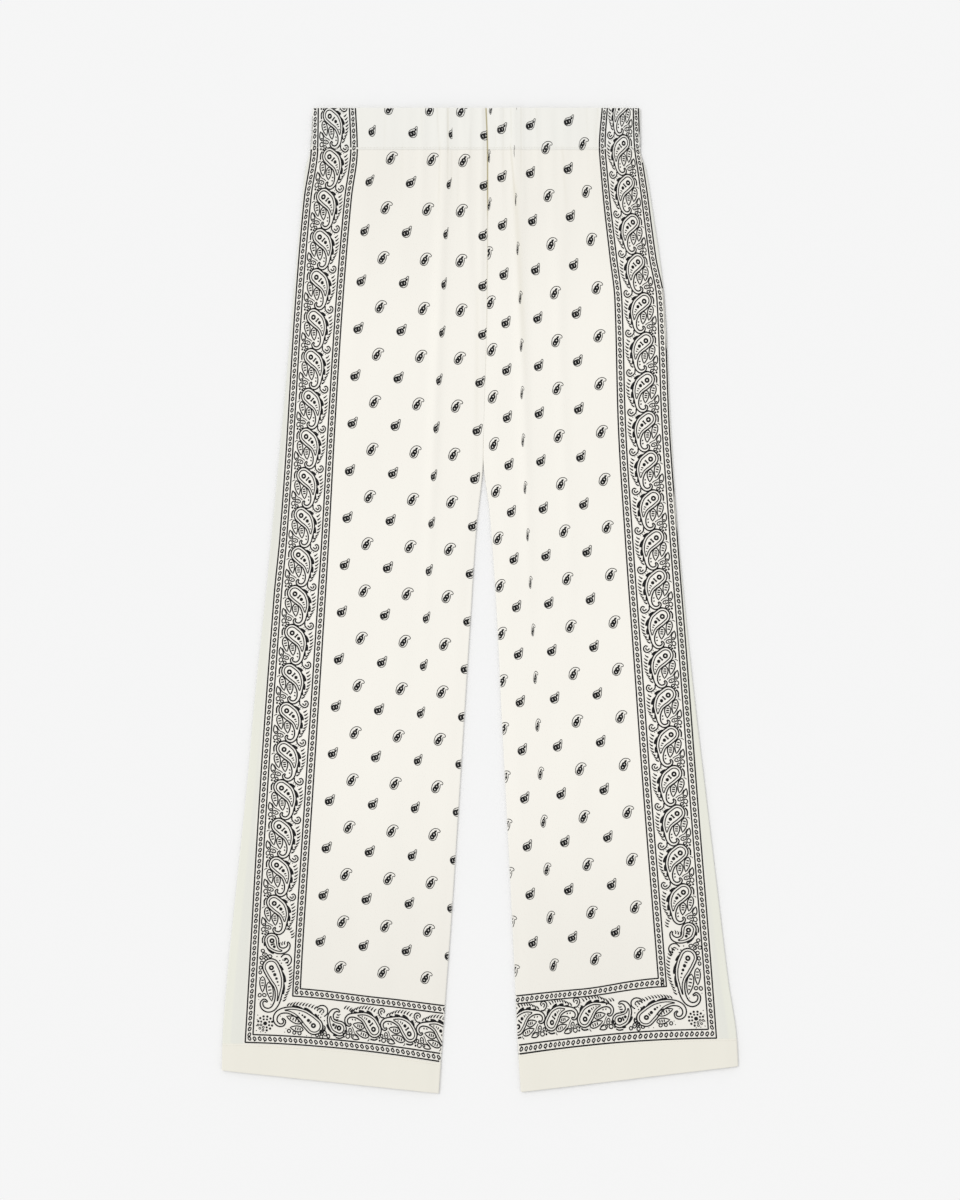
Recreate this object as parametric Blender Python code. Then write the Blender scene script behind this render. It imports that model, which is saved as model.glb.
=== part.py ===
"""Straight-leg pull-on trousers, laid flat on their back.

The back panels lie on the surface, the front panels lie on them.  Lengths are in millimetres until
the meshes are made: x runs across from the middle of the outline, down runs from the waist's top
edge towards the hems, z runs up from the surface.  Right and left are the wearer's.
"""

import bisect
import math
from collections import namedtuple

import bmesh
import bpy

MM = 0.001

# Driving sizes
CASING_DEPTH = 46.1
CLOTH = 1.1
CASING = 1.6
HEM = 1.5
SEAM_GAP = 0.3
PILLOW_LIFT = 0.9
PILLOW_REACH = 16.0

# How finely the walls are divided
PANEL_ROWS = 26
PANEL_COLUMNS = 30
CASING_ROWS = 3
CASING_COLUMNS = 58
HEM_ROWS = 2
BACK_COLUMNS = 3
ROW_CROWDING = 1.3
EDGE_STEPS = (0.5, 1.4)
EDGE_HEIGHTS = (0.35, 0.8)

CREAM = (0.88, 0.85, 0.77)
HEM_CREAM = (0.84, 0.81, 0.70)

# The outline of each leg: a row for each level, where the side seam and the inner edge are.
# The inner edge is the centre seam down to the crotch, then the inside leg seam.  The rise is how far
# the middle of a level lies above the straight line between its ends.
Section = namedtuple("Section", "side_down side_x inner_down inner_x rise", defaults=(0.0,))
RIGHT_LEG = [
    Section(0.0, -185.4, 0.0, 6.7),
    Section(46.1, -188.1, 46.1, 8.3),
    Section(68.3, -193.7, 69.0, 8.4),
    Section(101.0, -197.0, 102.0, 8.4),
    Section(212.6, -207.0, 219.0, 7.8),
    Section(356.9, -219.8, 368.0, 3.9),
    Section(376.0, -221.7, 388.0, 3.6),
    Section(457.0, -229.4, 470.0, -4.4),
    Section(545.6, -238.1, 560.0, -10.2),
    Section(656.6, -249.9, 673.0, -17.4),
    Section(745.4, -257.9, 763.0, -23.0),
    Section(878.6, -271.7, 898.5, -31.8),
    Section(967.4, -280.6, 988.5, -38.4, 3.0),
    Section(1037.3, -285.7, 1059.5, -43.4, 5.0),
    Section(1067.3, -286.3, 1092.8, -45.6),
]
LEFT_LEG = [
    Section(0.0, 177.6, 0.0, 6.7),
    Section(46.1, 177.9, 46.1, 8.3),
    Section(68.3, 184.0, 69.0, 8.4),
    Section(107.0, 190.4, 108.0, 8.4),
    Section(212.6, 204.4, 219.0, 7.8),
    Section(356.9, 211.7, 368.0, 3.9),
    Section(376.0, 212.9, 388.0, 3.6),
    Section(434.6, 216.6, 447.0, 10.6),
    Section(545.6, 226.4, 559.0, 18.6),
    Section(656.6, 238.1, 670.0, 23.9),
    Section(745.4, 248.6, 760.0, 28.6),
    Section(878.6, 264.6, 894.0, 35.4),
    Section(967.4, 275.3, 984.0, 39.6, 3.0),
    Section(1032.0, 284.8, 1050.0, 42.6, 5.0),
    Section(1062.6, 286.3, 1091.3, 45.3),
]

# The waist's edge is this far from the middle of the whole outline.
HALF_LENGTH = RIGHT_LEG[-1].inner_down / 2

# The soft folds of the front, each a ridge that fades towards its lower end.
Fold = namedtuple("Fold", "top_x top_down low_x low_down width height")
FRONT_FOLDS = [
    Fold(-118.0, 30.0, -150.0, 420.0, 14.0, 0.5),
    Fold(-63.0, -30.0, -66.0, 150.0, 4.0, 0.7),
    Fold(-48.0, -20.0, -52.0, 110.0, 3.0, 0.5),
    Fold(-35.0, -60.0, -62.0, 640.0, 6.5, 2.0),
    Fold(-20.0, -30.0, -9.0, 260.0, 5.0, 0.9),
    Fold(-11.0, -20.0, -13.0, 90.0, 3.0, 0.5),
    Fold(2.0, -40.0, 1.0, 330.0, 4.0, 1.2),
    Fold(21.0, -20.0, 27.0, 150.0, 3.5, 0.6),
    Fold(36.0, -60.0, 58.0, 640.0, 6.5, 2.2),
    Fold(45.0, -30.0, 50.0, 170.0, 3.5, 0.7),
    Fold(62.0, -20.0, 65.0, 120.0, 3.5, 0.7),
    Fold(75.0, -40.0, 105.0, 660.0, 6.5, 1.1),
    Fold(95.0, -20.0, 88.0, 300.0, 6.0, 1.0),
    Fold(122.0, 30.0, 146.0, 420.0, 14.0, 0.5),
    Fold(-190.0, 700.0, -205.0, 1060.0, 16.0, 0.6),
    Fold(-90.0, 560.0, -122.0, 1090.0, 18.0, 0.7),
    Fold(92.0, 640.0, 128.0, 1090.0, 18.0, 0.7),
    Fold(196.0, 760.0, 214.0, 1060.0, 16.0, 0.6),
]
FOLD_RISE = 0.12
FOLD_FADE = 0.5

# Small gathers that the elastic draws in the casing and just below it.
GATHER_PITCH = 17.0
GATHER_HEIGHT = 0.35
GATHER_FADE = 60.0


def clear_scene():
    for old in list(bpy.data.objects):
        bpy.data.objects.remove(old, do_unlink=True)


def ease(value):
    """0 below 0 and 1 above 1, with a smooth step between."""
    held = min(1.0, max(0.0, value))
    return held * held * (3.0 - 2.0 * held)


def slopes(keys, values):
    """Slopes for a smooth curve through the values that never swings past them."""
    secants = []
    for index in range(len(keys) - 1):
        secants.append((values[index + 1] - values[index]) / (keys[index + 1] - keys[index]))
    result = [secants[0]]
    for before, after in zip(secants, secants[1:]):
        if before * after <= 0.0:
            result.append(0.0)
        else:
            result.append(2.0 * before * after / (before + after))
    result.append(secants[-1])
    return result


def column_at(table, column, side_down):
    """A column of an outline table, read at any level of the side seam."""
    keys = [row.side_down for row in table]
    values = [getattr(row, column) for row in table]
    gradients = slopes(keys, values)
    place = bisect.bisect_right(keys, side_down) - 1
    place = min(max(place, 0), len(keys) - 2)
    span = keys[place + 1] - keys[place]
    share = (side_down - keys[place]) / span
    square = share * share
    cube = square * share
    return (
        (2 * cube - 3 * square + 1) * values[place]
        + (cube - 2 * square + share) * span * gradients[place]
        + (3 * square - 2 * cube) * values[place + 1]
        + (cube - square) * span * gradients[place + 1]
    )


def fold_height(x, down):
    """How far the front stands up at a place, for all its folds and gathers together."""
    height = 0.0
    for fold in FRONT_FOLDS:
        along = (down - fold.top_down) / (fold.low_down - fold.top_down)
        if not 0.0 < along < 1.0:
            continue
        middle = fold.top_x + (fold.low_x - fold.top_x) * along
        strength = ease(along / FOLD_RISE) * ease((1.0 - along) / FOLD_FADE)
        height += fold.height * strength * math.exp(-(((x - middle) / fold.width) ** 2))
    wave = math.sin(2.0 * math.pi * x / GATHER_PITCH + 0.6 * math.sin(x / 29.0))
    return height + GATHER_HEIGHT * max(0.0, wave) * ease(1.0 - (down - CASING_DEPTH) / GATHER_FADE)


def pillow(distance):
    """The front panels rise a little between their edges."""
    return PILLOW_LIFT * ease(distance / PILLOW_REACH)


def across_steps(width, count):
    """Distances from the side seam to the inner edge, with close steps to round both edges."""
    first = EDGE_STEPS[-1]
    steps = [0.0, *EDGE_STEPS]
    for index in range(1, count):
        steps.append(first + (width - 2.0 * first) * index / count)
    steps.extend(width - step for step in reversed(EDGE_STEPS))
    steps.append(width)
    return steps


def edge_share(distance):
    """The share of the wall's thickness that is left this near its rounded edge."""
    for step, share in zip((0.0, EDGE_STEPS[0]), EDGE_HEIGHTS):
        if distance <= step + 1e-6:
            return share
    return 1.0


def level_rows(start, end, count, crowding=1.0):
    """Levels from start to end, closer together near the start where crowding is over 1."""
    return [start + (end - start) * (index / count) ** crowding for index in range(count + 1)]


def wall_rows(table, levels, columns, floor, thickness, has_relief):
    """The top and the underside of one wall, as rows of points in metres."""
    outward = -1.0 if table[0].side_x < 0.0 else 1.0
    top_rows = []
    under_rows = []
    for level in levels:
        side_x = column_at(table, "side_x", level)
        inner_x = column_at(table, "inner_x", level) + outward * SEAM_GAP / 2
        inner_down = column_at(table, "inner_down", level)
        rise = column_at(table, "rise", level)
        width = abs(side_x - inner_x)
        top_row = []
        under_row = []
        for distance in across_steps(width, columns):
            share = distance / width
            x = side_x + (inner_x - side_x) * share
            down = level + (inner_down - level) * share - 4.0 * rise * share * (1.0 - share)
            to_edge = min(distance, width - distance)
            under = floor
            if has_relief:
                under += pillow(to_edge) + fold_height(x, down) * ease(to_edge / EDGE_STEPS[-1])
            top = under + thickness * edge_share(to_edge)
            top_row.append((x * MM, (HALF_LENGTH - down) * MM, top * MM))
            under_row.append((x * MM, (HALF_LENGTH - down) * MM, under * MM))
        top_rows.append(top_row)
        under_rows.append(under_row)
    return top_rows, under_rows


def border_loop(rows, columns):
    """The indices round a grid of points, in order."""
    loop = list(range(columns))
    loop += [row * columns + columns - 1 for row in range(1, rows)]
    loop += [(rows - 1) * columns + column for column in range(columns - 2, -1, -1)]
    loop += [row * columns for row in range(rows - 2, 0, -1)]
    return loop


def closed_wall(top_rows, under_rows):
    """The points and faces of a sheet closed between two equal grids."""
    columns = len(top_rows[0])
    points = [point for row in top_rows + under_rows for point in row]
    beneath = len(top_rows) * columns
    faces = []
    for row in range(len(top_rows) - 1):
        for column in range(columns - 1):
            corner = row * columns + column
            quad = (corner, corner + columns, corner + columns + 1, corner + 1)
            faces.append(quad)
            faces.append(tuple(beneath + index for index in reversed(quad)))
    loop = border_loop(len(top_rows), columns)
    for here, there in zip(loop, loop[1:] + loop[:1]):
        faces.append((here, there, there + beneath, here + beneath))
    return points, faces


def cloth_material(name, colour):
    material = bpy.data.materials.new(name)
    material.use_nodes = True
    shader = material.node_tree.nodes["Principled BSDF"]
    shader.inputs["Base Color"].default_value = (*colour, 1.0)
    shader.inputs["Roughness"].default_value = 0.7
    shader.inputs["Metallic"].default_value = 0.0
    return material


def add_piece(name, table, levels, columns, floor, thickness, has_relief, colour):
    """One sewn piece as one closed body."""
    top_rows, under_rows = wall_rows(table, levels, columns, floor, thickness, has_relief)
    points, faces = closed_wall(top_rows, under_rows)
    mesh = bpy.data.meshes.new(name)
    mesh.from_pydata(points, [], faces)
    shape = bmesh.new()
    shape.from_mesh(mesh)
    bmesh.ops.recalc_face_normals(shape, faces=shape.faces)
    shape.to_mesh(mesh)
    shape.free()
    mesh.shade_smooth()
    mesh.materials.append(cloth_material(name + "_cloth", colour))
    piece = bpy.data.objects.new(name, mesh)
    bpy.context.scene.collection.objects.link(piece)
    return piece


def add_leg(side, table):
    """A leg's casing, panel and hem, at the back and at the front."""
    hem_line = table[-2].side_down
    hem_fold = table[-1].side_down
    half_gap = SEAM_GAP / 2
    casing = level_rows(0.0, CASING_DEPTH - half_gap, CASING_ROWS)
    panel = level_rows(CASING_DEPTH + half_gap, hem_line - half_gap, PANEL_ROWS, ROW_CROWDING)
    hem = level_rows(hem_line + half_gap, hem_fold, HEM_ROWS)
    add_piece(f"waist_back_{side}", table, casing, BACK_COLUMNS, 0.0, CASING, False, CREAM)
    add_piece(f"back_leg_{side}", table, panel, BACK_COLUMNS, 0.0, CLOTH, False, CREAM)
    add_piece(f"hem_back_{side}", table, hem, BACK_COLUMNS, 0.0, HEM, False, HEM_CREAM)
    above = SEAM_GAP
    add_piece(
        f"waist_front_{side}", table, casing, CASING_COLUMNS, CASING + above, CASING, True, CREAM
    )
    add_piece(
        f"front_leg_{side}", table, panel, PANEL_COLUMNS, CLOTH + above, CLOTH, True, CREAM
    )
    add_piece(f"hem_front_{side}", table, hem, PANEL_COLUMNS, HEM + above, HEM, True, HEM_CREAM)


def main():
    clear_scene()
    add_leg("right", RIGHT_LEG)
    add_leg("left", LEFT_LEG)


main()
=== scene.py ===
"""Straight-leg pull-on trousers in bandana-print cloth, laid flat on their back, front up.

Each panel is a thin shell on its solid's form, with its folds, gathers and rolled edges.  The print is
drawn as flat marks in the pattern's own plane and laid on the cloth.  Lengths are in millimetres until
the meshes are made: x runs across, down runs from the waist's edge to the hems, z runs up.
"""

import math
from collections import namedtuple

import bpy
import numpy as np
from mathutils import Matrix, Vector


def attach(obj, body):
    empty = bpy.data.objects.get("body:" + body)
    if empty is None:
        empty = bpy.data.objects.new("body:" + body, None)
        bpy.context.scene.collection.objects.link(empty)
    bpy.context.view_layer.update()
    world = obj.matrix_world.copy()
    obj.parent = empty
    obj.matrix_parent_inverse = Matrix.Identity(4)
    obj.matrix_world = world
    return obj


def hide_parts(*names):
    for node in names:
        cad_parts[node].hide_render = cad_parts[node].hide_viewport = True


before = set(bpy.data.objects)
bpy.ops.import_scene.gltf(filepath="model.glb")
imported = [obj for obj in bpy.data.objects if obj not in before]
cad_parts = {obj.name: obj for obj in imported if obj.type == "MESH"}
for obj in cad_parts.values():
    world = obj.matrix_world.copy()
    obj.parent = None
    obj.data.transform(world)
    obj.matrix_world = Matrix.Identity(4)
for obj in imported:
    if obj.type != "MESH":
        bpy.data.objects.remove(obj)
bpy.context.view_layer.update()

MM = 0.001


def rows_of(kind, *rows):
    """A table with named columns."""
    return [kind(*row) for row in rows]


# A stretch over which something rises from nothing to its full amount.
Span = namedtuple("Span", "start reach")

# ---------------------------------------------------------------- sizes of the trousers

CASING_DEPTH = 46.1
SEAM_HALF = 0.04

# How thick one side is at the panel, the casing and the hem, and how far apart front and back lie.
CLOTH = 1.1
CASING = 1.6
HEM = 1.5
SEAM_STEP = 1.4
LAYER_GAP = 0.3

# The front's lift over the back, and where the cloth's relief fades at the panel's edges.
PILLOW = Span(0.0, 16.0)
PILLOW_LIFT = 0.9
RELIEF_EDGE = Span(0.0, 5.0)
UNDERSIDE = 0.2

# How thick the shells are, and how they round off and thin out at the edges.
CASING_SHELL = 1.2
PANEL_SHELL = 0.7
HEM_SHELL = 1.1
EDGE_ROLL = 1.4
EDGE_SPLIT = 0.03
EDGE_THIN = 0.28
FOLDED_END = 0.2
CENTRE_SEAM_DROP = 0.16
CROTCH_OPENING = Span(345.0, 18.0)
SHARP_ANGLE = 55.0

# Matching places on the side seam and the inner edge, and how far the cloth's rows bow up between them.
Section = namedtuple("Section", "side_down side_x inner_down inner_x rise", defaults=(0,))
RIGHT_OUTLINE = rows_of(
    Section,
    (0, -185.4, 0, 6.7), (46.1, -188.1, 46.1, 8.3), (68.3, -193.7, 69, 8.4), (101, -197, 102, 8.4),
    (212.6, -207, 219, 7.8), (356.9, -219.8, 368, 3.9), (376, -221.7, 388, 3.6),
    (457, -229.4, 470, -4.4), (545.6, -238.1, 560, -10.2), (656.6, -249.9, 673, -17.4),
    (745.4, -257.9, 763, -23), (878.6, -271.7, 898.5, -31.8), (967.4, -280.6, 988.5, -38.4, 3),
    (1037.3, -285.7, 1059.5, -43.4, 5), (1067.3, -286.3, 1092.8, -45.6),
)
LEFT_OUTLINE = rows_of(
    Section,
    (0, 177.6, 0, 6.7), (46.1, 177.9, 46.1, 8.3), (68.3, 184, 69, 8.4), (107, 190.4, 108, 8.4),
    (212.6, 204.4, 219, 7.8), (356.9, 211.7, 368, 3.9), (376, 212.9, 388, 3.6),
    (434.6, 216.6, 447, 10.6), (545.6, 226.4, 559, 18.6), (656.6, 238.1, 670, 23.9),
    (745.4, 248.6, 760, 28.6), (878.6, 264.6, 894, 35.4), (967.4, 275.3, 984, 39.6, 3),
    (1032, 284.8, 1050, 42.6, 5), (1062.6, 286.3, 1091.3, 45.3),
)
HALF_LENGTH = RIGHT_OUTLINE[-1].inner_down / 2

# ---------------------------------------------------------------- folds

# Each is a ridge that fades towards its lower end, or a trough where its height is below 0.
Fold = namedtuple("Fold", "top_x top_down low_x low_down width height")
FRONT_FOLDS = rows_of(
    Fold,
    (-118, 30, -150, 420, 14, 0.5), (-63, -30, -66, 150, 4, 0.7), (-48, -20, -52, 110, 3, 0.5),
    (-35, -60, -62, 640, 6.5, 2), (-20, -30, -9, 260, 5, 0.9), (-11, -20, -13, 90, 3, 0.5),
    (2, -40, 1, 330, 4, 1.2), (21, -20, 27, 150, 3.5, 0.6), (36, -60, 58, 640, 6.5, 2.2),
    (45, -30, 50, 170, 3.5, 0.7), (62, -20, 65, 120, 3.5, 0.7), (75, -40, 105, 660, 6.5, 1.1),
    (95, -20, 88, 300, 6, 1), (122, 30, 146, 420, 14, 0.5), (-190, 700, -205, 1060, 16, 0.6),
    (-90, 560, -122, 1090, 18, 0.7), (92, 640, 128, 1090, 18, 0.7), (196, 760, 214, 1060, 16, 0.6),
)
# Narrow creases that the elastic draws in the front, above and below the casing's seam.
FRONT_CREASES = rows_of(
    Fold,
    (-150, -10, -153, 80, 1.5, -0.08), (-104, -10, -107, 70, 1.4, -0.08),
    (-85, 30, -88, 120, 1.5, -0.08), (-64.6, -12, -64.8, 56, 1, -0.12),
    (-48, -12, -44.5, 60, 0.9, -0.2), (-44.2, 34, -46.4, 134, 1, -0.24),
    (-35.6, -14, -35.2, 60, 0.9, -0.55), (-35.4, 38, -35.8, 100, 0.8, -0.22),
    (-31, 44, -31.4, 110, 0.9, -0.2), (-24, 50, -24.6, 124, 1.2, -0.1),
    (-10.2, 20, -10.4, 74, 0.9, -0.12), (-2.4, 180, -4, 420, 2.4, -0.16),
    (17.2, 16, 17.6, 62, 0.9, -0.14), (26.4, -12, 25.4, 118, 0.9, -0.16),
    (34, -12, 35, 50, 0.9, -0.22), (33.4, 36, 41, 124, 1, -0.42), (38, 70, 52, 330, 3.2, -0.34),
    (45.6, -12, 45.8, 110, 0.9, -0.24), (62.6, -12, 63, 48, 0.9, -0.15),
    (90.6, 38, 98, 130, 1.2, -0.2), (118, -8, 122, 90, 1.2, -0.1), (131, -12, 127, 66, 1.1, -0.2),
)
BACK_PUCKERS = rows_of(
    Fold,
    (-160, -10, -163, 120, 4, 0.35), (-137, 0, -143, 170, 5, 0.45), (-112, -5, -115, 110, 3.6, 0.35),
    (-90, -10, -96, 210, 5, 0.5), (-66, 0, -69, 140, 4, 0.4), (-44, -10, -49, 260, 5.5, 0.5),
    (-21, 0, -23, 120, 3.6, 0.4), (27, -10, 29, 150, 4, 0.4), (50, 0, 57, 250, 5.5, 0.5),
    (74, -5, 78, 130, 4, 0.4), (98, -10, 106, 200, 5, 0.5), (121, 0, 124, 120, 3.6, 0.35),
    (146, -5, 153, 160, 5, 0.4),
)
FOLD_RISE = 0.12
FOLD_FADE = 0.5
GATHER_PITCH = 17.0
GATHER_HEIGHT = 0.2
GATHER_FADE = 60.0
GATHER_SWAY = 0.6
GATHER_SWAY_LENGTH = 29.0
GROOVE_HALF = 1.3
CASING_GROOVE = 0.13
HEM_GROOVE = 0.1
BACK_GROOVE = 0.6

# Long shallow waves of the cloth, each by its wavelengths across and along.
Wave = namedtuple("Wave", "across along phase height")
WAVES = rows_of(
    Wave, (61, 310, 0.4, 0.1), (37, -240, 2.1, 0.07), (23, 420, 4, 0.04), (90, 150, 1.3, 0.08)
)

# ---------------------------------------------------------------- where the print lies

BAND = 58.0
CHAIN = 8.1
EYE_INSET = 34.6
UNIT = 42.5
HEM_STEP = 39.7
HEM_REACH = 175.0
LINKS_PER_UNIT = 7
INK_LIFT = 0.15
BORDER_LINE = 1.25
FIELD_COLUMN = 23.9
FIRST_COLUMN = 18.7
FALL_REACH = 142.0
FIELD_MARGIN = 11.0
FIELD_COLUMNS = 8
FIELD_ROWS = range(-1, 20)
HIGHEST_ROW = -8.0
HEM_UNITS = 3
CHAIN_CORNER = 1.08
CHAIN_END_GAP = 2.0

# The border's inner line at each level, and how wide the border shows there.
Band = namedtuple("Band", "level line_x width")
RIGHT_BAND = rows_of(
    Band,
    (0, -138.1, 47.8), (46, -136.1, 51), (100, -142.7, 52.1), (211, -152.1, 52.2),
    (343, -160.6, 52), (475, -167.8, 54), (541, -171.8, 56.5), (740, -184.6, 58.3),
    (940, -197.6, 57.2), (1037, -202.2, 58.2),
)
LEFT_BAND = rows_of(
    Band,
    (0, 135.5, 40), (43, 132.4, 45.2), (68, 134.1, 47.3), (101, 137, 49.3), (164, 144.2, 50.5),
    (211, 149.6, 54.1), (343, 153.2, 56.1), (475, 161.2, 57.5), (608, 170.8, 58.4),
    (741, 180.3, 58.9), (942, 196.2, 59.2), (1037, 203.2, 59.4),
)
CORNER_LEVEL = 950.0
HEM_LEVEL = 1000.0

# Cloth hidden in a fold of the front: how far into the field it starts, and how much is taken up
# from its top level to its low level.
Tuck = namedtuple("Tuck", "place half top_level low_level top_take low_take")
RIGHT_TUCKS = rows_of(
    Tuck,
    (20, 14, 40, 230, 4.6, 0), (78, 9, 40, 220, 2.8, 0), (114.5, 7.5, 380, 930, 4.8, 0),
    (123, 8, 40, 250, 8.5, 0),
)
LEFT_TUCKS = rows_of(
    Tuck,
    (28, 12, 60, 210, 6.2, -1.2), (55, 10, 300, 700, 1.6, 0), (79, 10, 100, 660, 4.4, 0),
    (114.9, 12, 530, 930, 12, 3.3), (114.9, 12, 60, 180, 4, 0), (150, 10, 430, 850, 9.5, 1.7),
    (150, 10, 120, 300, -2.2, 0), (162, 7, 100, 150, 7.5, 0),
)

# How far the print's rows fall towards the inner edge beyond the cloth's own rows.
Fall = namedtuple("Fall", "level drop")
RIGHT_FALL = rows_of(Fall, (0, 4), (100, 4), (200, 1.5), (700, 1), (950, 3))
LEFT_FALL = rows_of(
    Fall, (0, 13), (150, 12.5), (260, 10), (415, 5.5), (520, 4.5), (780, 5.7), (950, 9)
)

# The print of one leg: the level of the lowest unit's eye, the units' pitch and how it grows upwards,
# the field's first row, the hem border's lines and eyes, and how far its corner is pushed up.
PrintPlan = namedtuple(
    "PrintPlan",
    "units eye_level pitch growth first_row row_pitch top_row_pitch even_near"
    " hem_top hem_sag hem_bottom hem_eye corner_rise",
)
RIGHT_PLAN = PrintPlan(
    21, 878.4, 42.2, 0.0625, 0.2, 51.9, 54.6, False, 972.3, 2.2, 1035.6, 82.9, 0.0
)
LEFT_PLAN = PrintPlan(
    20, 867.2, 43.57, 0.0, 39.9, 52.5, 52.5, True, 962.2, 6.0, 1031.4, 83.0, 5.4
)
HEM_SAG = Span(0.0, 85.0)
WIDENED_ROWS = 3.5


class Leg(namedtuple("Leg", "side inward outline band tucks fall plan")):
    """One leg; inward is the way along x from its side seam to its inner edge."""

    @property
    def hem_line(self):
        return self.outline[-2].side_down

    @property
    def hem_fold(self):
        return self.outline[-1].side_down


RIGHT = Leg("right", 1.0, RIGHT_OUTLINE, RIGHT_BAND, RIGHT_TUCKS, RIGHT_FALL, RIGHT_PLAN)
LEFT = Leg("left", -1.0, LEFT_OUTLINE, LEFT_BAND, LEFT_TUCKS, LEFT_FALL, LEFT_PLAN)


# ---------------------------------------------------------------- curves through tables

def ease(value):
    held = np.clip(value, 0.0, 1.0)
    return held * held * (3.0 - 2.0 * held)


def within(span, value):
    """0 before a span, 1 beyond it and a smooth rise along it."""
    return ease((value - span.start) / span.reach)


def quarter_round(value):
    """0 at 0 and 1 from 1 on, as a quarter of a circle."""
    held = np.clip(value, 0.0, 1.0)
    return np.sqrt(1.0 - (1.0 - held) ** 2)


def smooth_through(keys, values, at):
    """A smooth curve through the values that never swings past them."""
    keys = np.asarray(keys, float)
    values = np.asarray(values, float)
    secants = np.diff(values) / np.diff(keys)
    before = secants[:-1]
    after = secants[1:]
    total = np.where(before * after > 0.0, before + after, 1.0)
    inner = np.where(before * after > 0.0, 2.0 * before * after / total, 0.0)
    slopes = np.concatenate([secants[:1], inner, secants[-1:]])
    place = np.clip(np.searchsorted(keys, at, side="right") - 1, 0, len(keys) - 2)
    span = keys[place + 1] - keys[place]
    share = (at - keys[place]) / span
    square = share * share
    cube = square * share
    return (
        (2 * cube - 3 * square + 1) * values[place]
        + (cube - 2 * square + share) * span * slopes[place]
        + (3 * square - 2 * cube) * values[place + 1]
        + (cube - square) * span * slopes[place + 1]
    )


def read(table, column, level):
    """A column of a table whose first column is the level, at any levels."""
    keys = [row[0] for row in table]
    values = [getattr(row, column) for row in table]
    return smooth_through(keys, values, np.asarray(level, float))


def edges_at(leg, level):
    """Where the side seam and the inner edge of the cloth run, along x."""
    inner_x = read(leg.outline, "inner_x", level) - leg.inward * SEAM_HALF
    return read(leg.outline, "side_x", level), inner_x


def on_leg(leg, share, level):
    """Where a share of the way from the side seam to the inner edge lies, at a level."""
    side_x, inner_x = edges_at(leg, level)
    inner_down = read(leg.outline, "inner_down", level)
    rise = read(leg.outline, "rise", level)
    x = side_x + (inner_x - side_x) * share
    down = level + (inner_down - level) * share - 4.0 * rise * share * (1.0 - share)
    return x, down


def unit_vectors(vectors):
    return vectors / np.maximum(np.linalg.norm(vectors, axis=-1, keepdims=True), 1e-9)


# ---------------------------------------------------------------- the cloth's surface

def folds_at(folds, x, down):
    height = np.zeros_like(x)
    for fold in folds:
        along = (down - fold.top_down) / (fold.low_down - fold.top_down)
        inside = (along > 0.0) & (along < 1.0)
        middle = fold.top_x + (fold.low_x - fold.top_x) * along
        strength = ease(along / FOLD_RISE) * ease((1.0 - along) / FOLD_FADE)
        ridge = fold.height * strength * np.exp(-(((x - middle) / fold.width) ** 2))
        height += np.where(inside, ridge, 0.0)
    return height


def gathers_at(x, down):
    sway = GATHER_SWAY * np.sin(x / GATHER_SWAY_LENGTH)
    wave = np.sin(2.0 * math.pi * x / GATHER_PITCH + sway)
    return GATHER_HEIGHT * np.maximum(0.0, wave) * ease(1.0 - (down - CASING_DEPTH) / GATHER_FADE)


def waves_at(x, down):
    height = np.zeros_like(x)
    for wave in WAVES:
        turns = x / wave.across + down / wave.along
        height += wave.height * np.sin(2.0 * math.pi * turns + wave.phase)
    return height


def layer_thickness(leg, level):
    """How thick one side of the trousers is: casing, single cloth or turned hem."""
    to_casing = ease((CASING_DEPTH - level) / SEAM_STEP + 0.5)
    to_hem = ease((level - leg.hem_line) / SEAM_STEP + 0.5)
    return CLOTH + (CASING - CLOTH) * to_casing + (HEM - CLOTH) * to_hem


def sewn_groove(leg, level):
    """A narrow groove along the casing's stitch line and the hem's."""
    at_casing = CASING_GROOVE * np.exp(-(((level - CASING_DEPTH) / GROOVE_HALF) ** 2))
    return at_casing + HEM_GROOVE * np.exp(-(((level - leg.hem_line) / GROOVE_HALF) ** 2))


def front_height(leg, x, down, level, to_edge):
    below = 2.0 * layer_thickness(leg, level) + LAYER_GAP
    relief = folds_at(FRONT_FOLDS, x, down) + folds_at(FRONT_CREASES, x, down)
    relief += gathers_at(x, down) + waves_at(x, down)
    relief -= sewn_groove(leg, level)
    return below + PILLOW_LIFT * within(PILLOW, to_edge) + relief * within(RELIEF_EDGE, to_edge)


def back_height(leg, x, down, level, to_edge):
    relief = folds_at(BACK_PUCKERS, x, down) + BACK_GROOVE * sewn_groove(leg, level)
    return UNDERSIDE + relief * within(RELIEF_EDGE, to_edge)


def crowded(first, last, step, near_first=(), near_last=()):
    """Even steps from first to last, with closer ones near the ends."""
    head = [first + offset for offset in near_first] or [first]
    tail = [last - offset for offset in reversed(near_last)] or [last]
    low = head[-1]
    high = tail[0]
    count = max(1, round((high - low) / step))
    even = [low + (high - low) * index / count for index in range(1, count)]
    return head + even + tail


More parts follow.
